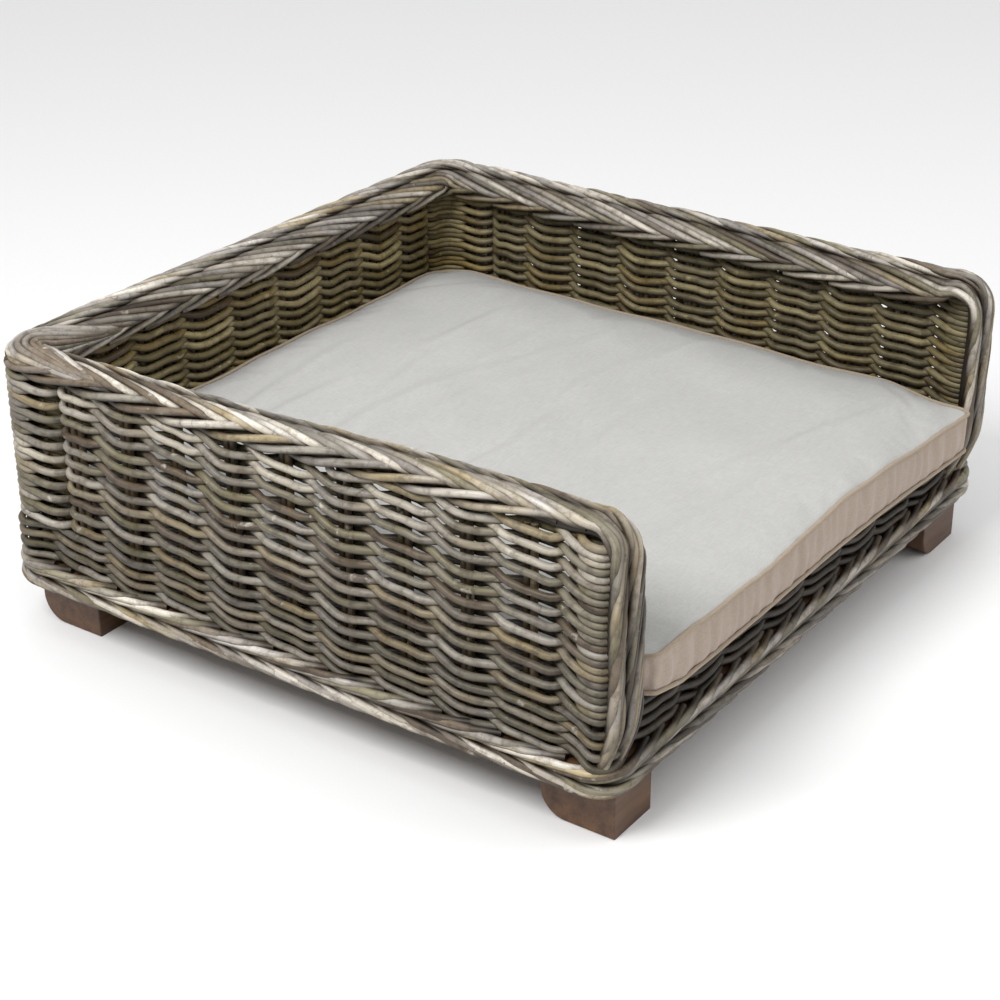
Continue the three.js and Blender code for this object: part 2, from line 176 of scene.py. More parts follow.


# Weathered cane with painted light and shade. "grain" is (along, across, across) in metres with a shift of
# its own for each cane; painted shade is 1 where a cane lies hidden under others, and "inner" is 1 on the
# inner face of a wall, which gets a painted shade tint.
def cane_material(name, stops, inner_tint):
    material, tree, shader = node_material(name, Roughness=0.5, Specular_IOR_Level=0.4)
    grain = attribute(tree, "grain", "Vector")
    tone = attribute(tree, "tone")
    patches = noise(tree, grain, 9.0, 2.0)
    shifted = value_math(tree, "ADD", tone, value_math(tree, "MULTIPLY_ADD", patches, 0.36, -0.18))
    color = ramp(tree, shifted, stops)
    streaks = noise(tree, grain, 260.0, 4.0, 0.6, (0.09, 1, 1))
    color = shade(tree, 0.7, color, streaks, [(0.3, (0.45, 0.42, 0.38)), (0.7, (1.0, 1.0, 1.0))])
    blotches = noise(tree, grain, 75.0, 5.0, 0.7)
    color = shade(tree, 0.6, color, blotches, [(0.36, (0.3, 0.26, 0.22)), (0.52, (1.0, 1.0, 1.0))])
    scuffs = ramp(tree, noise(tree, grain, 34.0, 4.0, 0.65), [(0.65, (0, 0, 0)), (0.73, (1, 1, 1))])
    color = mix(tree, scuffs, color, (0.5, 0.46, 0.4))
    split = make(tree, "ShaderNodeSeparateXYZ")
    tree.links.new(grain, split.inputs[0])
    wander = value_math(tree, "MULTIPLY_ADD", patches, 0.3, split.outputs["X"])
    in_node = value_math(tree, "MULTIPLY", value_math(tree, "PINGPONG", wander, 0.27), 100.0)
    line = ramp(tree, in_node, [(0.0, (1, 1, 1)), (0.1, (0, 0, 0))])
    color = mix(tree, value_math(tree, "MULTIPLY", line, 0.6), color, (0.05, 0.038, 0.026))
    color = mix(tree, attribute(tree, "cut"), color, (0.4, 0.33, 0.24))
    # Painted light from above: the upward side of each cane lighter, the downward side darker
    up = make(tree, "ShaderNodeSeparateXYZ")
    tree.links.new(make(tree, "ShaderNodeNewGeometry").outputs["Normal"], up.inputs[0])
    facing_up = value_math(tree, "MULTIPLY_ADD", up.outputs["Z"], 0.5, 0.5)
    color = shade(tree, 1.0, color, facing_up, PAINTED_LIGHT_FROM_ABOVE)
    # Painted shade on the inner face of a wall
    color = mix(tree, attribute(tree, "inner"), color, inner_tint, "MULTIPLY")
    # Painted shade where a cane lies hidden under others or faces into a border
    color = mix(tree, attribute(tree, "deep"), color, (0.11, 0.088, 0.066), "MULTIPLY")
    tree.links.new(color, shader.inputs["Base Color"])
    height = value_math(tree, "MULTIPLY_ADD", streaks, 0.7, value_math(tree, "MULTIPLY", line, 0.8))
    bump(tree, shader, height, 0.6, 0.0006)
    return material


GREYS = [
    (0.0, (0.055, 0.04, 0.026)),
    (0.14, (0.14, 0.105, 0.068)),
    (0.3, (0.22, 0.2, 0.17)),
    (0.44, (0.175, 0.152, 0.085)),
    (0.58, (0.29, 0.265, 0.235)),
    (0.72, (0.3, 0.238, 0.13)),
    (0.86, (0.385, 0.355, 0.31)),
    (1.0, (0.5, 0.455, 0.37)),
]
# cane_back differs from cane_grey only in a lighter inner tint: painted light on the back wall's inner face,
# which the key light only grazes
cane_grey = cane_material("cane_grey", GREYS, (0.6, 0.55, 0.33))
cane_back = cane_material("cane_back", GREYS, (0.9, 0.81, 0.47))
THICK_GREYS = [(p, (c[0] * 1.6, c[1] * 1.64, c[2] * 1.76)) for p, c in GREYS]
# Stakes, posts and rods are darker: partly their own colour, partly painted shade where they show in the
# shaded gaps of the walls
STAKE_GREYS = [(p, (c[0] * 0.45, c[1] * 0.38, c[2] * 0.3)) for p, c in GREYS]
cane_border = cane_material("cane_border", THICK_GREYS, (0.62, 0.56, 0.4))
cane_stake = cane_material("cane_stake", STAKE_GREYS, (0.8, 0.75, 0.6))


def grained_material(name, colors, grain, stretch=(1, 1, 1), high=0.7, bumps=(0.1, 0.0002), **constants):
    """Wood, plastic or metal: one noise gives the colour, from dark to light, and the bumps."""
    material, tree, shader = node_material(name, **constants)
    fibres = noise(tree, make(tree, "ShaderNodeTexCoord").outputs["Object"], *grain, stretch)
    tree.links.new(ramp(tree, fibres, [(0.3, colors[0]), (high, colors[1])]), shader.inputs["Base Color"])
    bump(tree, shader, fibres, *bumps)
    return material


def wood_material(name, dark, light, roughness):
    return grained_material(
        name, (dark, light), (60.0, 6.0, 0.65), (0.12, 1, 1), 0.72, (0.25, 0.0005), Roughness=roughness
    )


dark_timber = wood_material("dark_timber", (0.045, 0.02, 0.009), (0.14, 0.068, 0.03), 0.5)
pale_timber = wood_material("pale_timber", (0.3, 0.2, 0.11), (0.52, 0.39, 0.24), 0.7)


def add_object(name, data):
    thing = bpy.data.objects.new(name, data)
    bpy.context.scene.collection.objects.link(thing)
    return thing


# ---- canes
def smooth(points, step):
    """A curve through the points, sampled about every step metres."""
    p = np.asarray(points, float)
    p = np.vstack([2 * p[0] - p[1], p, 2 * p[-1] - p[-2]])
    gap = np.maximum(np.linalg.norm(np.diff(p, axis=0), axis=1), 1e-6)
    slope = np.diff(p, axis=0) / gap[:, None]
    pieces = []
    for i in range(1, len(p) - 2):
        h = gap[i]
        m0 = (slope[i] * gap[i - 1] + slope[i - 1] * gap[i]) / (gap[i - 1] + gap[i]) * h
        m1 = (slope[i + 1] * gap[i] + slope[i] * gap[i + 1]) / (gap[i] + gap[i + 1]) * h
        t = np.linspace(0, 1, max(2, math.ceil(h / step)), endpoint=False)[:, None]
        a, b = p[i], p[i + 1]
        pieces.append(
            (2 * t**3 - 3 * t**2 + 1) * a + (t**3 - 2 * t**2 + t) * m0
            + (3 * t**2 - 2 * t**3) * b + (t**3 - t**2) * m1
        )
    pieces.append(p[-2][None])
    return np.vstack(pieces)


class Canes:
    """Round canes gathered into one mesh, with what the cane material reads."""

    def __init__(self, sides=9):
        self.sides = sides
        self.rows = []
        self.faces = []
        self.flat = []
        self.count = 0
        self.data = {"tone": [], "cut": [], "inner": [], "deep": [], "grain": []}

    def keep(self, points, grain, tone, cut, inner, deep):
        self.rows.append(points)
        self.data["grain"].append(grain)
        for key, value in (("tone", tone), ("cut", cut), ("inner", inner), ("deep", deep)):
            self.data[key].append(np.broadcast_to(value, len(points)))
        first = self.count
        self.count += len(points)
        return first

    def add(self, line, radius, tone=None, inner=0.0, deep=0.0, away=None):
        """One cane along a line; given away, its sides that don't face that way get painted shade."""
        n, k = len(line), self.sides
        tone = rng.uniform(0.1, 1.0) if tone is None else tone
        tangent = unit(np.gradient(line, axis=0))
        side = np.empty_like(line)
        start = np.cross(tangent[0], UP)
        if np.linalg.norm(start) < 0.1:
            start = np.cross(tangent[0], (1.0, 0.0, 0.0))
        side[0] = unit(start)
        for i in range(1, n):
            side[i] = side[i - 1] - tangent[i] * (side[i - 1] @ tangent[i])
            side[i] /= math.sqrt(side[i] @ side[i])
        over = np.cross(tangent, side)
        along = run_length(line)
        wave = 1 + 0.035 * np.sin(along * 60 + rng.uniform(0, 6))
        wave = wave + 0.02 * np.sin(along * 170 + rng.uniform(0, 6))
        r = (np.broadcast_to(radius, n) * wave)[:, None]
        angle = np.arange(k) * 2 * math.pi / k
        c, s = np.cos(angle), np.sin(angle)
        spokes = side[:, None] * c[None, :, None] + over[:, None] * s[None, :, None]
        rings = line[:, None] + r[..., None] * spokes
        shift = rng.uniform(-4, 4, 3)
        grain = np.empty((n, k, 3))
        grain[..., 0] = along[:, None] + shift[0]
        grain[..., 1] = r * c[None] + shift[1]
        grain[..., 2] = r * s[None] + shift[2]
        inner = np.repeat(np.broadcast_to(inner, n), k)
        deep = np.repeat(np.broadcast_to(deep, n), k)
        # Painted shade on the sides that face into the border, between neighbouring canes
        if away is not None:
            facing = np.einsum("nkj,nj->nk", rings - line[:, None], away) / r
            deep = deep + 0.95 * (1 - clamp(1.1 * facing.ravel())) ** 1.5
        deep = clamp(deep)
        first = self.keep(rings.reshape(-1, 3), grain.reshape(-1, 3), tone, 0.0, inner, deep)
        index = first + np.arange(n * k).reshape(n, k)
        ahead = np.roll(index, -1, axis=1)
        quads = np.stack([index[:-1], ahead[:-1], ahead[1:], index[1:]], axis=-1).reshape(-1, 4)
        self.faces.extend(quads.tolist())
        for end, order in ((0, slice(None, None, -1)), (n - 1, slice(None))):
            at = self.keep(rings[end], grain[end], tone, 1.0, inner[end * k], deep[end * k])
            self.flat.append(len(self.faces))
            self.faces.append((at + np.arange(k))[order].tolist())

    def build(self, name, material, slot, replaced, body="basket"):
        mesh = bpy.data.meshes.new(name)
        mesh.from_pydata(np.vstack(self.rows).tolist(), [], self.faces)
        smooth_faces = np.ones(len(self.faces), bool)
        smooth_faces[self.flat] = False
        mesh.polygons.foreach_set("use_smooth", smooth_faces)
        for key in ("tone", "cut", "inner", "deep"):
            layer = mesh.attributes.new(key, "FLOAT", "POINT")
            layer.data.foreach_set("value", np.concatenate(self.data[key]).astype(np.float32))
        layer = mesh.attributes.new("grain", "FLOAT_VECTOR", "POINT")
        layer.data.foreach_set("vector", np.vstack(self.data["grain"]).astype(np.float32).ravel())
        mesh.materials.append(material)
        piece = add_object(name, mesh)
        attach(piece, body)
        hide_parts(*replaced)


# ---- walls
def middle_of(node):
    low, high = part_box(node)
    return np.array((low + high) / 2)


CANE = 0.0046  # weaver radius
FAR_CANE = 0.0051  # on the inner face of the two far walls, where the rows lie closer
FAR_OUTER_CANE = 0.0055  # on their outer face
STAKE = 0.0043
STEP = 0.0065  # between the rings of a cane
WALLS = {}
for side, axis, along, places in (
    ("left", 0, (0.0, -1.0, 0.0), [-0.323 + 0.078 * k for k in range(9)]),
    ("front", 1, (1.0, 0.0, 0.0), [-0.337 + 0.0925 * k for k in range(8)]),
    ("right", 0, (0.0, 1.0, 0.0), [-0.323 + 0.078 * k for k in range(9)]),
    ("back", 1, (-1.0, 0.0, 0.0), [-0.36 + 0.09 * k for k in range(9)]),
):
    across = middle_of(f"weave_{side}")[axis]
    WALLS[side] = {"axis": axis, "across": across, "along": np.array(along), "stakes": places}
POST_NAMES = ("front_left", "front_right", "back_left", "back_right")
POSTS = {name: middle_of(f"post_{name}") * (1, 1, 0) for name in POST_NAMES}
LOW_ROWS = [0.0972 + 0.0134 * i for i in range(4)]
HIGH_ROWS = [0.1535 + 0.0168 * i for i in range(11)]
FAR_ROWS = [0.1535 + 0.014 * i for i in range(13)]
RAISED_ROW = 0.3375  # the extra row under the raised front of the left wall's border
CLOSER = 0.014 / 0.0168  # how much closer the rows of the far walls lie


def outward(along):
    return np.array([along[1], -along[0], 0.0])


def station(point, along, reach, drop):
    """A place where the two weavers of a row pass either side of a stake pair or post."""
    return {"point": point, "along": along, "out": outward(along), "reach": reach, "drop": drop}


def wall_stations(side):
    """The stations of one wall in the order of its direction."""
    wall = WALLS[side]
    along = wall["along"]
    points = [np.insert([place, 0.0], wall["axis"], wall["across"]) for place in wall["stakes"]]
    points.sort(key=lambda p: float(p @ along))
    drops = [0.0022 * (-1) ** i + rng.normal(0, 0.0012) for i in range(len(points))]
    return [station(p, along, STAKE + CANE + 0.0002, d) for p, d in zip(points, drops)]


# The two back corners are round: canes run over an arc from the last stake of one wall to the next.
CORNER_ARC = 0.034  # radius of the middle of the wall
POST_REACH = 0.0125  # from a post's middle to the weavers that pass it


def corner_middle(post, turn_from, turn_to):
    a, b = outward(WALLS[turn_from]["along"]), outward(WALLS[turn_to]["along"])
    return POSTS[post] - (a + b) * CORNER_ARC


def corner_station(name, turn_from, turn_to):
    along = unit(WALLS[turn_from]["along"] + WALLS[turn_to]["along"])
    if name.startswith("front"):
        return station(POSTS[name], along, POST_REACH, 0.0)
    middle = corner_middle(name, turn_from, turn_to) + outward(along) * CORNER_ARC
    return station(middle, along, POST_REACH, 0.0)


# How two weavers change places between stakes: how far one rises and the other dips, the share of that at a
# third of the way, and how far out each lies, in reaches, at a third, a half and two thirds of the way
NEAR_CROSSING = {
    "rise": 0.0097, "dip": 0.0012, "slope": 0.62, "rising": (-0.1, 0.6, 0.95), "falling": (0.97, 0.55, -0.25)
}
FAR_CROSSING = {
    "rise": 0.0097 * CLOSER, "dip": 0.0012, "slope": 0.45, "rising": (-0.55, 0.28, 0.92),
    "falling": (0.92, 0.24, -0.6),
}
BASE_CROSSING = {**NEAR_CROSSING, "rise": 0.0076, "dip": 0.0008}


def twine(stations, z, phase, seen=1, crossing=NEAR_CROSSING):
    """Control points of the two weavers of one row; seen is 1 where the outer face is in view and -1 where
    the inner one is, and they cross nearer that face."""
    slope = crossing["slope"]
    lines = []
    jitter = [rng.normal(0, 0.0006) for _ in stations]
    for weaver in (0, 1):
        points = []
        for k, here in enumerate(stations):
            face = face_of(k + weaver + phase)
            base = here["point"] + UP * (z + here["drop"] + jitter[k])
            out = here["out"] * here["reach"]
            if k:
                before = stations[k - 1]
                gap = here["point"] - before["point"]
                level = UP * (z + (here["drop"] + before["drop"]) / 2)
                lift = UP * (crossing["rise" if face > 0 else "dip"] + rng.normal(0, 0.0006))
                early, middle, late = crossing["rising" if face * seen > 0 else "falling"]
                start = slope if face > 0 else 0.4
                for part, raised, reach in ((0.34, start, early), (0.5, 1, middle), (0.66, slope, late)):
                    points.append(before["point"] + gap * part + level + lift * raised + out * seen * reach)
            slip = here["along"] * 0.008
            points.append(base - slip + out * face + UP * 0.0006)
            points.append(base + slip + out * face)
        lines.append(points)
    return lines


def side_tint(line, across_axis, middle, outside):
    """0 on the outer face of a wall and 1 on its inner face, which gets painted shade."""
    return clamp(0.5 - (line[:, across_axis] - middle) * outside / 0.008)


def hidden(line, across_axis, middle, seen_side):
    """1 just behind a wall's middle, where a weaver is hidden by its partner (painted shade), and 0 on both
    faces.
    """
    return clamp(1 - np.abs((line[:, across_axis] - middle) * seen_side + 0.0035) / 0.0045)


# The way round an end post, as (along the wall, outwards, upwards) from the post, for a weaver that comes on
# the face it turns from, for one that comes on the other face, and for both once they are round
FRONT_TURN = mm((-56, 6.5, 0.6), (-42, -1.5, 3), (-28.5, -3, 7.8), (-17.5, 7.5, 8.6), (-8, 12.2, 8.4))
BACK_TURN = mm((-60, 7.5, 3.5), (-45.5, -1, 8.5), (-32, -7.8, 5.2), (-12, -12.2, 0.4))
ROUND_POST = mm((7.5, 12.2, 0), (14.5, 0, 0), (7.5, -12.2, 0), (-10, -12.2, 0), (-22, -8.5, 0), (-31, -1, 0))


def post_turn(points, face, post, along, z, squeeze=1.0):
    """Takes a weaver from the last stake on round the end post and back on the other face."""
    out = outward(along) * face
    base = post + UP * z
    for ahead, across, up in FRONT_TURN if face > 0 else BACK_TURN:
        points.append(base + along * ahead + out * across + UP * squeeze * up)
    if face > 0:
        base = base + UP * squeeze * FRONT_TURN[-1][2]
    for ahead, across, _ in ROUND_POST:
        points.append(base + along * ahead + out * face * across)


def stake_turn(points, face, here, along, z):
    """Curls a weaver round the last stake pair of its wall."""
    out = here["out"] * face
    base = here["point"] + UP * (z + here["drop"])
    points.append(base + along * 0.0135 + out * 0.0062 + UP * 0.003)
    points.append(base + along * 0.0152 - out * 0.0002 + UP * (0.0058 if face > 0 else 0.0062))


def face_of(number):
    """Weavers alternate: 1 passes a place on the outer face and -1 on the inner one."""
    return 1 if number % 2 == 0 else -1


weavers = {side: Canes() for side in ("left", "right", "back")}
for side in ("left", "right", "back"):
    wall = WALLS[side]
    along = wall["along"]
    stations = wall_stations(side)
    seen = 1 if side == "left" else -1
    squeeze = 1.0 if side == "left" else CLOSER
    for row, z in enumerate(HIGH_ROWS if side == "left" else FAR_ROWS):
        level = z + rng.normal(0, 0.0004)
        crossing = NEAR_CROSSING if side == "left" else FAR_CROSSING
        for weaver, points in enumerate(twine(stations, level, row, seen, crossing)):
            first_face = face_of(weaver + row)
            last_face = face_of(len(stations) - 1 + weaver + row)
            if side == "left":
                post_turn(points, last_face, POSTS["front_left"], along, z, squeeze)
            else:
                stake_turn(points, last_face, stations[-1], along, z)
            points.reverse()
            if side == "right":
                post_turn(points, -first_face, POSTS["front_right"], -along, z, squeeze)
            else:
                stake_turn(points, first_face, stations[0], -along, z)
            line = smooth(points, STEP)
            axis = wall["axis"]
            outside = 1 if side in ("right", "back") else -1
            tint = side_tint(line, axis, wall["across"], outside)
            thick = CANE if side == "left" else FAR_OUTER_CANE + (FAR_CANE - FAR_OUTER_CANE) * tint
            thick = thick - 0.0003 * rng.random()
            # Painted shade: where a weaver is hidden by its partner, and on the left wall also on its inner
            # face and towards the bottom, where less light falls
            covered = 0.85 * hidden(line, axis, wall["across"], outside * seen)
            if side == "left":
                covered = np.maximum(covered, 0.7 * tint)
                covered = covered + 0.55 * clamp((0.27 - line[:, 2]) / 0.14)
            weavers[side].add(line, thick, inner=tint, deep=covered)

# One more row under the front half of the left wall's border, which stands higher there
raised = [here for here in wall_stations("left") if here["point"][1] < -0.05]
along = WALLS["left"]["along"]
for weaver, points in enumerate(twine(raised, RAISED_ROW, 1)):
    post_turn(points, face_of(len(raised) + weaver), POSTS["front_left"], along, RAISED_ROW)
    points.reverse()
    stake_turn(points, face_of(weaver + 1), raised[0], -along, RAISED_ROW)
    line = smooth(points, STEP)
    weavers["left"].add(line, CANE, inner=side_tint(line, 0, WALLS["left"]["across"], -1))

# The four lowest rows run on round every corner.
loop = (
    wall_stations("left")
    + [corner_station("front_left", "left", "front")]
    + wall_stations("front")
    + [corner_station("front_right", "front", "right")]
    + wall_stations("right")
    + [corner_station("back_right", "right", "back")]
    + wall_stations("back")
    + [corner_station("back_left", "back", "left")]
)
loop.append(loop[0])
base_rows = Canes()


def outside_of_loop(line):
    """Distance outwards from the middle of the four walls."""
    x = np.abs(line[:, 0]) - WALLS["right"]["across"] + CORNER_ARC
    y = np.abs(line[:, 1]) - WALLS["back"]["across"] + CORNER_ARC
    return np.hypot(np.maximum(x, 0), np.maximum(y, 0)) - CORNER_ARC + np.minimum(np.maximum(x, y), 0)


def front_shade(line):
    """Painted shade on the low front, under the cushion's edge."""
    at_front = clamp((-line[:, 1] - 0.39) / 0.02)
    return 0.45 * at_front * clamp((0.4 - np.abs(line[:, 0])) / 0.03)


for row, z in enumerate(LOW_ROWS):
    for points in twine(loop, z, row, 1, BASE_CROSSING):
        line = smooth(points, 0.007)
        away = outside_of_loop(line)
        # Painted shade: where a weaver is hidden, under the cushion's front, and over all the low rows
        covered = 0.85 * clamp(1 - np.abs(away + 0.0035) / 0.0045)
        dark = np.maximum(covered, front_shade(line)) + 0.52
        base_rows.add(line, CANE * 0.94, inner=clamp(0.5 - away / 0.008), deep=dark)


def corner_cane(target, radius, post, turn_from, turn_to, z, before, after, inside):
    """A cane round a back corner, before and after the post, with both ends tucked into the wall."""
    a, b = WALLS[turn_from]["along"], WALLS[turn_to]["along"]
    out_a, out_b = outward(a), outward(b)
    reach = CORNER_ARC + (-0.0088 if inside else 0.0092)
    tucked = CORNER_ARC + (-0.001 if inside else 0.001)
    centre = corner_middle(post, turn_from, turn_to) + UP * z
    sag = rng.normal(0, 0.0008)
    before -= CORNER_ARC
    after -= CORNER_ARC
    points = [centre - a * before + out_a * tucked + UP * 0.003]
    if before > 0.02:
        points.append(centre - a * (before - 0.014) + out_a * reach * 0.98)
    for turn in np.linspace(0, math.pi / 2, 5):
        out = out_a * math.cos(turn) + out_b * math.sin(turn)
        points.append(centre + out * reach + UP * sag * math.sin(2 * turn))
    if after > 0.02:
        points.append(centre + b * (after - 0.014) + out_b * reach * 0.98)
    points.append(centre + b * after + out_b * tucked + UP * 0.003)
    line = smooth(points, STEP)
    # Painted shade where the ends tuck into the wall
    ends = np.interp(np.linspace(0, 8, len(line)), np.arange(9), [0.9, 0.1, 0, 0, 0, 0, 0, 0.1, 0.9])
    target.add(line, radius, inner=float(inside), deep=ends)


for corner, before, after, rows, half_pitch in (
    (("back_left", "back", "left"), 0.051, 0.095, HIGH_ROWS, 0.0084),
    (("back_right", "right", "back"), 0.095, 0.051, FAR_ROWS, 0.007),
):
    target = weavers[corner[2]]
    for z in rows:
        for inside in (False, True):
            corner_cane(target, CANE, *corner, z + 0.001 * inside, before, after, inside)
            stub = (0.046 + rng.uniform(-0.004, 0.006), 0.048 + rng.uniform(-0.004, 0.008))
            corner_cane(target, CANE * 0.9, *corner, z + half_pitch, *stub, inside)

# The back corner posts, upright inside the arc
for name, turn_from, turn_to in (("back_left", "back", "left"), ("back_right", "right", "back")):
    low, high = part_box(f"post_{name}")
    away = unit(outward(WALLS[turn_from]["along"]) + outward(WALLS[turn_to]["along"]))
    place = corner_middle(name, turn_from, turn_to) + away * CORNER_ARC
    post = Canes(14)
    heights = (low.z, (low.z + high.z) / 2, high.z)
    post.add(smooth([place + UP * z for z in heights], 0.02), (high.x - low.x) / 2, 0.2)
    post.build(f"corner_post_{name}", cane_stake, "rattan_stake", [f"post_{name}"])

for side, cane, replaced in (
    ("left", cane_grey, ["weave_left", "post_wrap_front_left", "post_wrap_back_left"]),
    ("right", cane_grey, ["weave_right", "post_wrap_front_right"]),
    ("back", cane_back, ["weave_back", "post_wrap_back_right"]),
):
    weavers[side].build(f"weave_{side}_canes", cane, "rattan_cane", replaced)
base_rows.build("weave_base_canes", cane_grey, "rattan_cane", ["weave_front"])

# Stake pairs, with half the inner face's painted shade. The far walls also have thick dark rods buried
# beside the
# crossings: dark fillers that stand in for shade where light would show.
STAKES_TOP = {"front": 0.141, "left": 0.344, "right": 0.335, "back": 0.335}
CORNER_PAIRS = (0.3255, 0.353)  # pairs behind the canes round the back right corner
BURIED = 0.0055
for side, wall in WALLS.items():
    rods = Canes(8)
    top = STAKES_TOP[side]
    along = wall["along"]
    places = [here["point"] for here in wall_stations(side)]
    between = []
    if side in ("right", "back"):
        between = [(a + b) / 2 for a, b in zip(places[:-1], places[1:])]
    if side == "right":
        places += [np.array([wall["across"], y, 0]) for y in CORNER_PAIRS]
    for place in places:
        for sign in (-1, 1):
            foot = place + along * sign * STAKE
            lean = rng.normal(0, 0.0007, 3) * (1, 1, 0)
            points = [foot + UP * 0.08, foot + lean + UP * 0.2 * (top / 0.335), foot + UP * top]
            rods.add(smooth(points, 0.012), STAKE, inner=0.5)
    if side == "back":
        between += places[:-1]
    for place in between:
        for shift in (-0.0172, 0.0125):
            foot = place + along * shift + outward(along) * 0.001
            rods.add(smooth([foot + UP * z for z in (0.1, 0.2, 0.33)], 0.02), BURIED, inner=0.5)
    rods.build(f"stakes_{side}_rods", cane_stake, "rattan_stake", [f"stakes_{side}"])


# ---- plaited borders
class Spine:
    """The line a border grows along, with the directions to its right and out from its middle."""

    def __init__(self, points, rights):
        self.points = np.asarray(points, float)
        self.right = unit(np.asarray(rights, float))
        self.s = run_length(self.points)
        self.length = self.s[-1]
        self.out = unit(np.cross(self.right, unit(np.gradient(self.points, axis=0))))

    def at(self, s, across, up):
        right, out = unit(read_at(s, self.s, self.right)), unit(read_at(s, self.s, self.out))
        return read_at(s, self.s, self.points) + right * across[:, None] + out * up[:, None]


def arc(centre, start, end, steps=16):
    """Points of a quarter turn about centre from start to end, both as offsets from it."""
    angles = np.linspace(0, math.pi / 2, steps)[:, None]
    return centre + np.cos(angles) * start + np.sin(angles) * end


RIM_MIDDLE = 0.033  # outer face of the rim to the middle of its plait
RIM_CENTRE = 0.336
FRONT_FOOT = 0.082  # where the border down the front of a side wall ends
ELBOW = 0.007
LEFT_RISE = 0.0165  # how much higher the left wall's border stands at its front
half_x, half_y = cad_high.x, cad_high.y
front_turn = np.array([0, -half_y + 0.0325, RIM_CENTRE - ELBOW])


def rim_height(y):
    return RIM_CENTRE + 0.0075 * (y - front_turn[1]) / (half_y - front_turn[1])


def left_rise(y):
    return LEFT_RISE * ease((0.2 - y) / 0.5)


def side_run(x, y_from):
    """Down one side wall to the front, over the elbow and down the wall's end."""
    rise = left_rise if x < 0 else lambda y: 0.0
    level = [np.array([x, y, rim_height(y) + rise(y)]) for y in np.linspace(y_from, front_turn[1], 80)]
    top = front_turn[2] + rise(front_turn[1])
    centre = np.array([x, front_turn[1], top])
    over = arc(centre, np.array([0, 0, ELBOW]), np.array([0, -ELBOW, 0]))
    down = []
    for d in np.linspace(0.004, top - FRONT_FOOT, 44):
        tuck = ease((0.16 - (top - d)) / 0.075)
        down.append(over[-1] - UP * d + np.array([-math.copysign(0.009, x) * tuck, 0.019 * tuck, 0]))
    return [*level, *over[1:], *down]


BACK_TURN_RADIUS = 0.036  # of the plait's middle line at the back corners
BEFORE = 0.2  # how far the left border's line starts round the corner, on the back wall
y_back = half_y - RIM_MIDDLE
x_side = half_x - RIM_MIDDLE


def rim_spine(sign, start_x, steps):
    """Along the back wall, round its corner on the side of the sign and along the side wall to its end."""
    radius, z = BACK_TURN_RADIUS, rim_height(y_back)
    centre = np.array([sign * (x_side - radius), y_back - radius, z])
    back = [np.array([x, y_back, z]) for x in np.linspace(start_x, centre[0], steps)]
    turn = arc(centre, np.array([0, radius, 0]), np.array([sign * radius, 0, 0]))[1:]
    side = side_run(sign * x_side, centre[1])[1:]
    turn_rights = [-sign * unit(p - centre) for p in turn]
    rights = [(0, -sign, 0)] * len(back) + turn_rights + [(-1, 0, 0)] * len(side)
    return Spine([*back, *turn, *side], rights)


left_spine = rim_spine(-1, BACK_TURN_RADIUS - x_side + BEFORE, 30)
left_joint = BEFORE + BACK_TURN_RADIUS * math.pi / 4
right_spine = rim_spine(1, 0.006 - x_side, 90)

# Sections: centres of the outermost canes from the left lower edge over the top to the right one
HIGH_LOW = mm((-21, -24), (-26, -10), (-24, 6), (-13, 16.5), (0, 19.7), (12, 18), (22, 10), (27, -3))
LOW_HIGH = HIGH_LOW[::-1] * (-1, 1)
FRONT = mm((-28, 17), (-26, 23.5), (-17, 26.5), (-6, 27.5), (6, 27.5), (17, 26.5), (26, 23.5), (28, 17))


def section_at(section, q, depth):
    """Place in a section: q runs 0 to 1 round it, depth is how far under the surface."""
    fine = np.linspace(0, 1, 60)
    curve = smooth(np.column_stack([section, np.zeros(len(section))]), 0.001)[:, :2]
    d = run_length(curve)
    outline = read_at(fine, d / d[-1], curve)
    slope = unit(np.gradient(outline, axis=0))
    inward = np.stack([slope[:, 1], -slope[:, 0]], axis=-1)
    return read_at(q, fine, outline) + unit(read_at(q, fine, inward)) * depth[:, None]


def border_line(spine, sections, s, q, depth):
    """A cane's centre line in a border whose section changes from the first to the second over the elbow."""
    first, second, begin, end = sections
    weight = ease((s - begin) / (end - begin))[:, None]
    wide = clamp(0.02 + q * 1.14)
    place = section_at(first, q, depth) * (1 - weight) + section_at(second, wide, depth) * weight
    nothing = np.zeros(len(s))
    return spine.at(s, place[:, 0], place[:, 1]), spine.at(s, nothing, nothing)


# Canes of the plait: places along the border, the way round its section and the depth under its surface
LONG_X = mm(0, 14, 34, 80, 118, 146, 176, 206, 232, 256, 316, 352, 374, 398)
LONG_Q = np.array([0, 0.03, 0.1, 0.3, 0.43, 0.465, 0.475, 0.485, 0.515, 0.57, 0.72, 0.8, 0.825, 0.84])
LONG_DEPTH = mm(8, 4.5, 3, 1.2, -0.3, 1, 5, 10, 9, 5, 1.5, -1, 3, 9)
SHORT_X = mm(-40, -14, 0, 16, 36, 70, 104, 128, 146)
SHORT_Q = np.array([0.95, 0.985, 1.0, 1.0, 0.975, 0.91, 0.845, 0.8, 0.775])
SHORT_DEPTH = mm(15, 12, 8, 3.5, 1, 0, 0.5, 4.5, 10)
PLAIT_PITCH = 0.066
PLAIT_CANE = 0.0048


def trimmed_cane(canes, spine, sections, s, q, depth, ends, fewest):
    """Adds the part of a plait cane that lies between both ends, if it has more points than the fewest."""
    keep = (s > ends[0]) & (s < ends[1])
    if keep.sum() > fewest:
        lines = border_line(spine, sections, s[keep], q[keep], depth[keep])
        add_border_cane(canes, lines, PLAIT_CANE, depth[keep])


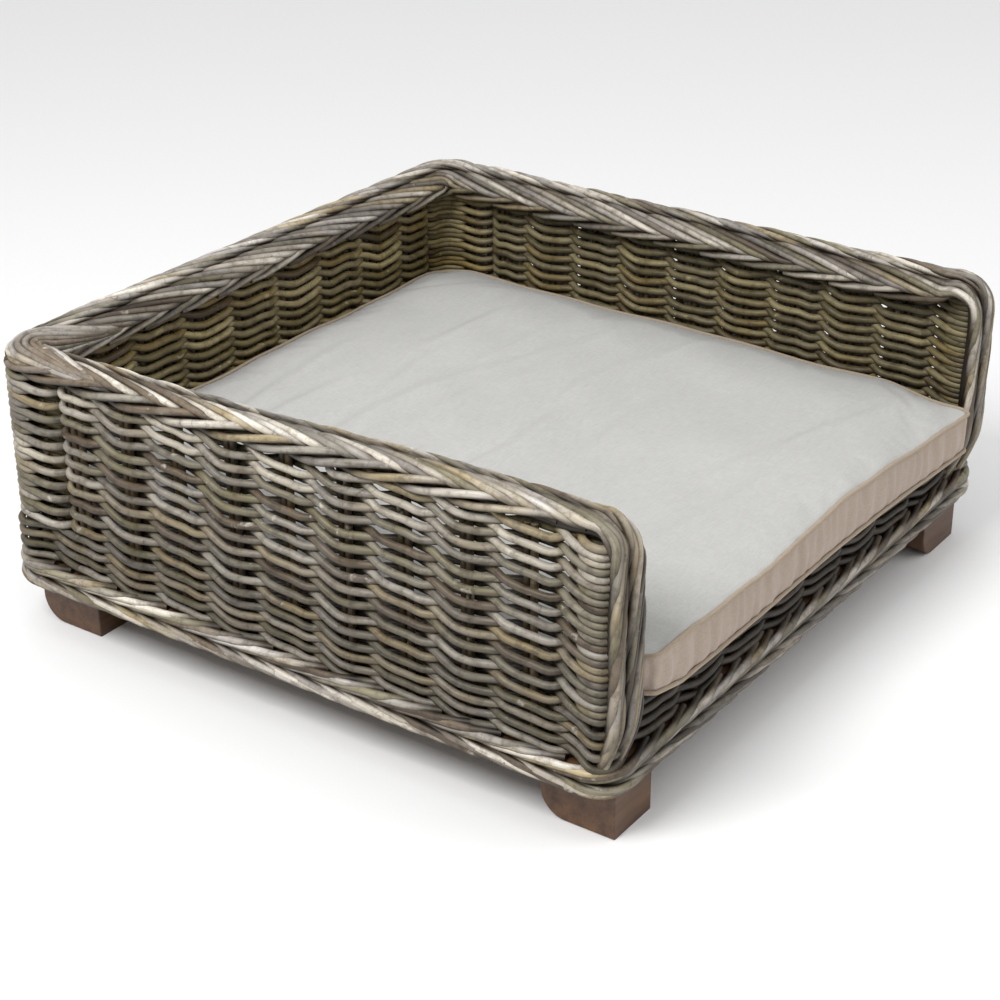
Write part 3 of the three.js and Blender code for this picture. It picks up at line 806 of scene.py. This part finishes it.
def long_cane(canes, spine, sections, begin, start, end):
    x = np.linspace(0, LONG_X[-1], 52)
    q = np.interp(x, LONG_X, LONG_Q) + rng.normal(0, 0.008) * np.sin(x / LONG_X[-1] * math.pi)
    depth = np.interp(x, LONG_X, LONG_DEPTH) + rng.uniform(0, 0.0022)
    if begin < start:
        depth += 0.007 * clamp(1 - (begin + x - start) / 0.1)
    trimmed_cane(canes, spine, sections, begin + x, q, depth, (start, end), 8)


def short_cane(canes, spine, sections, begin, start, end, cut_off):
    x = np.linspace(SHORT_X[cut_off], SHORT_X[-1], 26)
    depth = np.interp(x, SHORT_X, SHORT_DEPTH) + rng.uniform(0, 0.001)
    trimmed_cane(canes, spine, sections, begin + x, np.interp(x, SHORT_X, SHORT_Q), depth, (start, end), 6)


FULLY_DARK = 0.0085  # the depth at which a border cane gets its fullest painted shade


def add_border_cane(canes, lines, radius, depth):
    """Adds a cane along the first line, with painted shade by depth and where it faces the second, the
    border's core.
    """
    line, core = lines
    path = smooth(line[::2], STEP)
    at, known = np.linspace(0, 1, len(path)), np.linspace(0, 1, len(depth))
    dark = np.interp(at, known, depth) / FULLY_DARK
    away = unit(path - read_at(at, known, core))
    canes.add(path, radius * rng.uniform(0.9, 1.06), tone=rng.uniform(0.05, 1.1), deep=dark, away=away)


def plait(canes, spine, sections, start, end, elbow, cut_off=0):
    """Long canes in pairs over the top from left to right, and short ones rising from the right edge.

    The short ones lack their first cut_off points, where those would reach below the border.
    """
    for i in range(-6, int((end - start) / PLAIT_PITCH) + 1):
        for beside in (0, 0.029):
            begin = start + i * PLAIT_PITCH + beside + rng.normal(0, 0.0015)
            long_cane(canes, spine, sections, begin, start - 0.001, end)
    for i in range(-3, int((elbow - start) / PLAIT_PITCH)):
        begin = start + i * PLAIT_PITCH + 0.04 + rng.normal(0, 0.003)
        if begin + SHORT_X[-1] < elbow + 0.03:
            short_cane(canes, spine, sections, begin, start - 0.07, end, cut_off)
    # Five canes deep in the core of the border, fully darkened with painted shade
    for q_place in (0.06, 0.25, 0.45, 0.65, 0.85):
        s = np.linspace(start + 0.01, end - 0.002, int((end - start) / 0.02))
        swing = 0.02 * np.sin(s * 40 + q_place * 30)
        line = border_line(spine, sections, s, q_place + swing, np.full(len(s), 0.0145))[0]
        canes.add(smooth(line, 0.012), 0.0056, tone=rng.uniform(0, 0.2), deep=1.0)


def corner_start(canes, spine, sections, joint):
    """Where both borders start, each cane is folded round the back left corner and runs on both ways."""
    for place in (0.14, 0.235, 0.33, 0.425, 0.52, 0.615, 0.71, 0.805, 0.9):
        reach = rng.uniform(0.16, 0.2)
        x = np.linspace(-reach, reach, 50)
        slope = np.tanh(x / 0.11) / math.tanh(reach / 0.11)
        low, high = 0.15, 0.85 + 0.12 * max(0, place - 0.6)
        q = np.where(slope < 0, place + (place - low) * slope, place + (high - place) * slope)
        depth = 0.009 * clamp((np.abs(x) - reach + 0.06) / 0.06) ** 1.2 + rng.uniform(-0.001, 0.0034)
        lines = border_line(spine, sections, joint + x, q, depth)
        add_border_cane(canes, lines, 0.0047, depth)


def elbow_sections(spine, level, rise):
    """Where the elbow starts on a border's line, and the sections before and after it."""
    elbow_at = spine.length - (front_turn[2] + rise - FRONT_FOOT) - ELBOW * math.pi / 2
    return elbow_at, (level, FRONT, elbow_at - 0.03, elbow_at + 0.03)


rim_left = Canes()
elbow_at, sections = elbow_sections(left_spine, HIGH_LOW, LEFT_RISE)
plait(rim_left, left_spine, sections, left_joint, left_spine.length, elbow_at)
corner_start(rim_left, left_spine, sections, left_joint)
left_nodes = ["rim_border_left", "front_border_left"]
rim_left.build("rim_border_left_canes", cane_border, "rattan_thick", left_nodes)
low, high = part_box("rim_rod_left")
rod_x, rod_z = (low.x + high.x) / 2, (low.z + high.z) / 2
rod = Canes(12)
rod_points = [np.array([rod_x, y, rod_z + left_rise(y)]) for y in np.linspace(high.y, low.y, 12)]
rod.add(smooth(rod_points, 0.012), (high.z - low.z) / 2, 0.2)
rod.build("rim_rod_left_raised", cane_stake, "rattan_stake", ["rim_rod_left"])
rim_right = Canes()
elbow_at, sections = elbow_sections(right_spine, LOW_HIGH, 0.0)
plait(rim_right, right_spine, sections, 0.0, right_spine.length, elbow_at, 3)
right_nodes = ["rim_border_back", "rim_border_right", "front_border_right"]
rim_right.build("rim_border_right_canes", cane_border, "rattan_thick", right_nodes)

# Foot border: two bands of canes that part from a middle line on the outer face
BACK_ROUND = 0.054  # the middle line round the two back corners


def foot_spine():
    inset, z = 0.008, 0.078
    x, y = half_x - inset, half_y - inset
    corners = [(-x, y), (-x, -y), (x, -y), (x, y)]
    radii = [BACK_ROUND, 0.032, 0.032, BACK_ROUND]
    directions = [(0, -1), (1, 0), (0, 1), (-1, 0)]
    points = []
    for k, length in enumerate((2 * y, 2 * x, 2 * y, 2 * x)):
        along = np.array([*directions[k], 0.0])
        begin = np.array([*corners[k], z]) + along * radii[k]
        radius = radii[(k + 1) % 4]
        points += [begin + along * f for f in np.linspace(0, length - radii[k] - radius, 60)]
        out = outward(along)
        points += list(arc(points[-1] - out * radius, out * radius, along * radius, 10)[1:-1])
    points.append(points[0])
    return Spine(points, [-UP] * len(points))


foot_line = foot_spine()
foot = Canes()
FOOT_CANES = 44  # of each of the four kinds
foot_pitch = foot_line.length / FOOT_CANES
for i in range(FOOT_CANES):
    for pair in (0, 1):
        t = np.linspace(0, 1, 24)
        swell = np.interp(t, (0, 0.28, 0.74, 1), mm(9, 0.5, -0.4, 11))
        begin = i * foot_pitch + pair * 0.033 + rng.normal(0, 0.002)
        for shift, run, middle, spread, bend, out, radius in (
            (0, 0.18, -0.001, -0.0165, 0.85, 0.0022, 0.0049),
            (0.018, 0.17, 0.0005, 0.0125, 0.8, 0.0026, 0.0051),
        ):
            s = np.mod(begin + shift + run * t, foot_line.length)
            core = foot_line.at(s, 0 * t, 0 * t - 0.02)
            line = foot_line.at(s, middle + spread * t**bend, out - swell)
            # Painted shade by how far each cane dips under the others, and under the cushion's front
            add_border_cane(foot, (line, core), radius, swell + FULLY_DARK * front_shade(line))
foot_nodes = [f"foot_border_{side}" for side in ("left", "back", "right", "front")]
foot.build("foot_border_canes", cane_border, "rattan_thick", foot_nodes)


# ---- timber
def side_rail(node, sign):
    """A side rail whose back outer corner follows the foot border."""
    low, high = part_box(node)
    outer, inner = (high.x, low.x) if sign > 0 else (low.x, high.x)
    rounding, small = BACK_ROUND - 0.006, 0.012
    outline = [(inner, low.y), (outer - sign * small, low.y), (outer, low.y + small)]
    for angle in np.linspace(0, math.pi / 2, 12):
        x = outer - sign * rounding * (1 - math.cos(angle))
        outline.append((x, high.y - rounding * (1 - math.sin(angle))))
    outline.append((inner, high.y))
    count = len(outline)
    verts = [(x, y, z) for z in (low.z, high.z) for x, y in outline]
    order = list(range(count))[::sign]
    faces = [order[::-1], [i + count for i in order]]
    for a, b in zip(order, order[1:] + order[:1]):
        faces.append([a, b, b + count, a + count])
    mesh = bpy.data.meshes.new(f"{node}_rounded")
    mesh.from_pydata(verts, [], faces)
    mesh.materials.append(dark_timber)
    piece = add_object(f"{node}_rounded", mesh)
    edge = piece.modifiers.new("edge", "BEVEL")
    edge.width = 0.002
    edge.segments = 2
    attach(piece, "basket")
    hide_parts(node)


side_rail("base_rail_left", -1)
side_rail("base_rail_right", 1)


def dress(material, *starts):
    """Gives the CAD nodes whose names start so a better material."""
    for name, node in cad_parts.items():
        if name.startswith(starts):
            node.data.materials.clear()
            node.data.materials.append(material)


dress(dark_timber, "foot_front", "foot_back", "base_rail")
dress(pale_timber, "deck_")
dress(cane_stake, "post_back", "post_front", "rim_rod")


# ---- mattress
def fabric_material(name, color, dark, sheen):
    material, tree, shader = node_material(
        name, Roughness=0.9, Specular_IOR_Level=0.2, Sheen_Weight=sheen, Sheen_Roughness=0.5
    )
    place = make(tree, "ShaderNodeTexCoord").outputs["Object"]
    warp = noise(tree, place, 900.0, 2.0, 0.5, (1, 0.07, 1))
    weft = noise(tree, place, 900.0, 2.0, 0.5, (0.07, 1, 1))
    threads = value_math(tree, "MULTIPLY_ADD", warp, 0.5, value_math(tree, "MULTIPLY", weft, 0.5))
    clouds = noise(tree, place, 7.0, 3.0, 0.5)
    woven = ramp(tree, threads, [(0.3, dark), (0.62, color)])
    tint = shade(tree, 1.0, woven, clouds, [(0.3, (0.93, 0.93, 0.92)), (0.7, (1, 1, 1))])
    tree.links.new(tint, shader.inputs["Base Color"])
    bump(tree, shader, threads, 0.35, 0.0006)
    return material


cotton = fabric_material("cotton_top", (0.485, 0.482, 0.465), (0.41, 0.407, 0.393), 0.15)
cotton_side = fabric_material("cotton_side", (0.455, 0.365, 0.305), (0.375, 0.3, 0.25), 0.12)
piping_cotton = fabric_material("piping_cotton", (0.4, 0.33, 0.25), (0.32, 0.25, 0.18), 0.1)

FRONT_HALF = 0.379  # between the front borders
FULL_HALF = 0.403  # behind them, against the weave
PAD_FRONT = -0.4345
PAD_BACK = 0.389
PAD_LOW_SEAM = 0.147
PAD_BOTTOM = 0.143
LOW_TUCK = 0.024  # how much further in the lower back edge lies than the upper one
TOP_CELLS = (110, 112)
SIDE_CELLS = 7


def front_hump(x):
    return np.interp(x, mm(-382, -250, -150, -40, 40, 150, 260, 384), mm(13, 6, 6, 12, 16, 14, 6, 0))


def near_front(y):
    return clamp(1 - (y - PAD_FRONT) / 0.16) ** 1.5


def seam_height(x, y):
    """Top seam: it rises towards the back, where the cushion rides up the wall."""
    back = (y - PAD_FRONT) / (PAD_BACK - PAD_FRONT)
    wave = 0.0013 * np.sin(x * 21 + 0.6) + 0.0012 * np.sin(y * 17 + x * 5) + 0.0007 * np.sin(x * 53 - y * 41)
    return 0.193 + 0.0135 * back + wave + front_hump(x) * near_front(y)


def low_seam_height(x, y):
    near_left = clamp(-x / 0.06 - 5.3)
    return PAD_LOW_SEAM + (0.35 * front_hump(x) - 0.002 + 0.012 * near_left) * near_front(y)


def tucked(y, f):
    """The place of a point f of the way down the cushion's side: the lower back edge lies further in."""
    return y - LOW_TUCK * f * clamp((y - 0.2) / (PAD_BACK - 0.2))


def pad_plan(u, v):
    """The cushion's outline from above: u and v run from -1 to 1 across and along it."""
    middle, reach = (PAD_BACK + PAD_FRONT) / 2, (PAD_BACK - PAD_FRONT) / 2
    x, y = u * FULL_HALF, v * reach
    radius = np.where(v > 0, 0.055, 0.018)
    p = (np.abs(x) - (FULL_HALF - radius)) / radius
    q = (np.abs(y) - (reach - radius)) / radius
    corner_zone = (p > 0) & (q > 0)
    pc, qc = clamp(p), clamp(q)
    x = np.where(corner_zone, np.sign(x) * (FULL_HALF - radius + radius * pc * np.sqrt(1 - qc**2 / 2)), x)
    y = np.where(corner_zone, np.sign(y) * (reach - radius + radius * qc * np.sqrt(1 - pc**2 / 2)), y)
    y = y + middle
    behind = ease((y + 0.402) / 0.1)
    x = x * (FRONT_HALF + (FULL_HALF - FRONT_HALF) * behind) / FULL_HALF
    bow = 0.0022 * np.sin(y * 13 + 1) * (np.abs(u) > 0.999)
    y = y - np.interp(x, mm(-382, -200, 0, 200, 384), mm(0, -1, -1, 2.5, 9)) * near_front(y)
    return x - np.sign(u) * np.abs(bow), y


def pad_mesh():
    nu, nv = TOP_CELLS
    u, v = np.meshgrid(np.linspace(-1, 1, nu + 1), np.linspace(-1, 1, nv + 1), indexing="ij")
    x, y = pad_plan(u, v)
    rim_index = (
        [(i, 0) for i in range(nu)]
        + [(nu, j) for j in range(nv)]
        + [(i, nv) for i in range(nu, 0, -1)]
        + [(0, j) for j in range(nv, 0, -1)]
    )
    faces, side_faces = [], []
    puff = (1 - np.abs(u) ** 6) * (1 - np.abs(v) ** 6) * 0.006
    top = seam_height(x, y) + puff
    grid = {key: number for number, key in enumerate(np.ndindex(x.shape))}
    verts = np.stack([x, y, top], axis=-1).reshape(-1, 3).tolist()
    top_count = len(verts)
    for i in range(nu):
        for j in range(nv):
            faces.append((grid[(i, j)], grid[(i + 1, j)], grid[(i + 1, j + 1)], grid[(i, j + 1)]))
    ring = [grid[key] for key in rim_index]
    above = ring
    for level in range(1, SIDE_CELLS + 1):
        f = level / SIDE_CELLS
        row = []
        for index in ring:
            px, py, pz = verts[index]
            row.append(len(verts))
            verts.append((px, tucked(py, f), pz + (low_seam_height(px, py) - pz) * f))
        for k in range(len(ring)):
            n = (k + 1) % len(ring)
            side_faces.append(len(faces))
            faces.append((above[n], above[k], row[k], row[n]))
        above = row
    low = dict(zip(rim_index, above))
    for i in range(1, nu):
        for j in range(1, nv):
            low[(i, j)] = len(verts)
            edge = min(1, 8 * min(i, j, nu - i, nv - j) / nu)
            seam = low_seam_height(x[i, j], y[i, j])
            verts.append((x[i, j], tucked(y[i, j], 1), seam + (PAD_BOTTOM - seam) * edge))
    for i in range(nu):
        for j in range(nv):
            faces.append((low[(i, j)], low[(i, j + 1)], low[(i + 1, j + 1)], low[(i + 1, j)]))
    return np.array(verts), faces, side_faces, ring, above, top_count


pad_verts, pad_faces, pad_sides, top_ring, low_ring, top_count = pad_mesh()
mesh = bpy.data.meshes.new("mattress")
mesh.from_pydata(pad_verts.tolist(), [], pad_faces)
pad = add_object("mattress", mesh)
held = pad.vertex_groups.new(name="sewn")
loose_count = top_count + len(top_ring) * (SIDE_CELLS - 1)
sewn = set(top_ring) | set(range(loose_count, len(pad_verts)))
held.add(sorted(sewn), 1.0, "REPLACE")


CLOTH_FRAMES = 20


def inflate(piece, cap):
    """Blows the cushion up a little with Cloth; no point moves further than the cap."""
    cloth = piece.modifiers.new("cloth", "CLOTH")
    stiffness = {"tension": 25, "compression": 25, "shear": 8, "bending": 0.25}
    plain = {"quality": 6, "mass": 0.25, "use_pressure": True, "uniform_pressure_force": 4.5}
    plain.update({f"{key}_stiffness": value for key, value in stiffness.items()})
    plain.update(shrink_min=-0.012, shrink_max=-0.012, vertex_group_mass="sewn")
    for key, value in plain.items():
        setattr(cloth.settings, key, value)
    cloth.settings.effector_weights.gravity = 0
    scene = bpy.context.scene
    for number in range(1, CLOTH_FRAMES + 1):
        scene.frame_set(number)
    depsgraph = bpy.context.evaluated_depsgraph_get()
    moved = np.zeros(len(piece.data.vertices) * 3, np.float32)
    piece.evaluated_get(depsgraph).data.vertices.foreach_get("co", moved)
    rest = np.zeros_like(moved)
    piece.data.vertices.foreach_get("co", rest)
    shift = (moved - rest).reshape(-1, 3)
    length = np.linalg.norm(shift, axis=1, keepdims=True)
    shift *= np.minimum(1, cap / np.maximum(length, 1e-9))
    piece.modifiers.remove(cloth)
    piece.data.vertices.foreach_set("co", (rest.reshape(-1, 3) + shift).ravel())
    piece.data.update()
    scene.frame_set(1)


def crease(piece):
    """Long shallow creases across the top, gathers along the seams and the groove that the zip lies in."""
    flat = np.zeros(len(piece.data.vertices) * 3, np.float32)
    piece.data.vertices.foreach_get("co", flat)
    place = flat.reshape(-1, 3)
    x, y, z = place[:, 0].copy(), place[:, 1].copy(), place[:, 2].copy()
    top = np.arange(len(place)) < top_count
    lift = np.zeros(len(place))
    for _ in range(34):
        cx, cy = rng.uniform(-0.34, 0.34), rng.uniform(-0.4, 0.3)
        half_length, width = rng.uniform(0.07, 0.19), rng.uniform(0.008, 0.014)
        turn = rng.normal(0.0, 0.14)
        along = (x - cx) * math.cos(turn) + (y - cy) * math.sin(turn)
        across = (y - cy) * math.cos(turn) - (x - cx) * math.sin(turn) + 0.3 * along**2
        ridge = np.exp(-((across / width) ** 2)) - 0.7 * np.exp(-(((across - 1.8 * width) / width) ** 2))
        lift += rng.uniform(0.0014, 0.004) * ridge * np.exp(-((along / half_length) ** 4))
    gathers = np.sin(x * 290 + 3 * np.sin(x * 37)) + 0.6 * np.sin(x * 173 + 1.3)
    from_front = np.maximum(y - PAD_FRONT, 0)
    near_edge = np.exp(-from_front / 0.02) * (1 - np.exp(-from_front / 0.004))
    inland = clamp((0.37 - np.abs(x)) / 0.03)
    place[:, 2] += np.where(top, lift * inland + 0.0009 * gathers * near_edge, 0)
    side = ~top & (np.arange(len(place)) < loose_count)
    run = np.where(np.abs(x) > 0.36, y, x)
    pull = np.sin(run * 260 + 4 * np.sin(run * 31)) + 0.7 * np.sin(run * 410 + z * 60)
    away_x = np.where(np.abs(x) > 0.37, np.sign(x), 0)
    away_y = np.where(y < -0.41, -1.0, np.where(y > 0.36, 1.0, 0))
    away = unit(np.stack([away_x, away_y, z * 0], -1))
    place += away * (np.where(side, 0.0024, 0) * pull)[:, None]
    zip_low, zip_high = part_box("zip_chain")
    in_run = clamp((zip_high.x + 0.03 - np.abs(x)) / 0.03)
    off_zip = z - (zip_low.z + zip_high.z) / 2
    at_zip = np.exp(-((off_zip / 0.013) ** 4)) * in_run * (side & (y > 0.3))
    place[:, 1] += (zip_low.y - 0.0012 - place[:, 1]) * at_zip
    piece.data.vertices.foreach_set("co", place.ravel())
    piece.data.update()


inflate(pad, 0.012)
crease(pad)
pad.data.materials.append(cotton)
pad.data.materials.append(cotton_side)
slots = np.zeros(len(pad.data.polygons), np.int32)
slots[pad_sides] = 1
pad.data.polygons.foreach_set("material_index", slots)
pad.data.polygons.foreach_set("use_smooth", np.ones(len(slots), bool))
rounding = pad.modifiers.new("rounding", "SUBSURF")
rounding.levels = 1
rounding.render_levels = 1
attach(pad, "mattress")
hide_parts("mattress_cover", "mattress_foam")


def plain_material(name, color, roughness, metallic):
    dim = tuple(c * 0.75 for c in color)
    return grained_material(name, (dim, color), (400.0, 3.0, 0.55), Roughness=roughness, Metallic=metallic)


nylon = plain_material("zip_nylon", (0.62, 0.58, 0.5), 0.55, 0.0)
steel = plain_material("plated_steel", (0.6, 0.6, 0.58), 0.32, 1.0)
dress(nylon, "zip_chain")
dress(steel, "zip_slider", "foot_bolt")

for name, ring in (("top", top_ring), ("bottom", low_ring)):
    cord = Canes(10)
    line = pad_verts[ring]
    middle = line.mean(axis=0)
    away = unit((line - middle) * (1, 1, 0))
    line = line + away * 0.0012
    path = np.vstack([line, line[:3]])
    cord.add(smooth(path, 0.006), 0.0024)
    cord.build(f"piping_{name}", piping_cotton, "piping_cotton", [f"mattress_piping_{name}"], "mattress")

# ---- floor, light, camera
bpy.ops.mesh.primitive_plane_add(size=30)
floor = bpy.context.object
floor.name = "floor"
floor.data.materials.append(node_material("floor", Base_Color=(0.86, 0.86, 0.86, 1), Roughness=0.9)[0])
floor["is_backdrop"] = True

world = bpy.data.worlds.new("studio")
world.use_nodes = True
sky_tree = world.node_tree
sky = sky_tree.nodes["Background"]
direction = make(sky_tree, "ShaderNodeSeparateXYZ")
sky_tree.links.new(make(sky_tree, "ShaderNodeTexCoord").outputs["Generated"], direction.inputs[0])
height = value_math(sky_tree, "MAXIMUM", direction.outputs["Z"], 0.0)
sky_color = ramp(sky_tree, height, [(0.0, (0.2, 0.2, 0.2)), (0.45, (0.55, 0.55, 0.55)), (0.85, (1, 1, 1))])
sky_tree.links.new(sky_color, sky.inputs["Color"])
sky.inputs["Strength"].default_value = 1.0
bpy.context.scene.world = world


def area_light(name, place, target, size, power):
    data = bpy.data.lights.new(name, "AREA")
    data.energy = power
    data.size = size
    lamp = add_object(name, data)
    lamp.location = place
    lamp.rotation_euler = (Vector(target) - Vector(place)).to_track_quat("-Z", "Y").to_euler()
    lamp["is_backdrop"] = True


area_light("key", (-2.3, 0.1, 2.7), (0, 0, 0.2), 1.3, 85)
area_light("fill", (1.5, -2.8, 2.0), (0, 0, 0.2), 2.5, 26)

bpy.context.scene.view_settings.view_transform = "Standard"

camera_data = bpy.data.cameras.new("camera")
camera_data.sensor_width = 36
camera_data.lens = 76.2
camera_data.shift_x = 0.0055
camera_data.shift_y = -0.0025
camera = add_object("camera", camera_data)
camera.location = (-1.9437, -1.3492, 1.2825)
camera.rotation_euler = Euler([math.radians(a) for a in (63.539, 0.245, -54.925)], "XYZ")
bpy.context.scene.camera = camera

low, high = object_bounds()
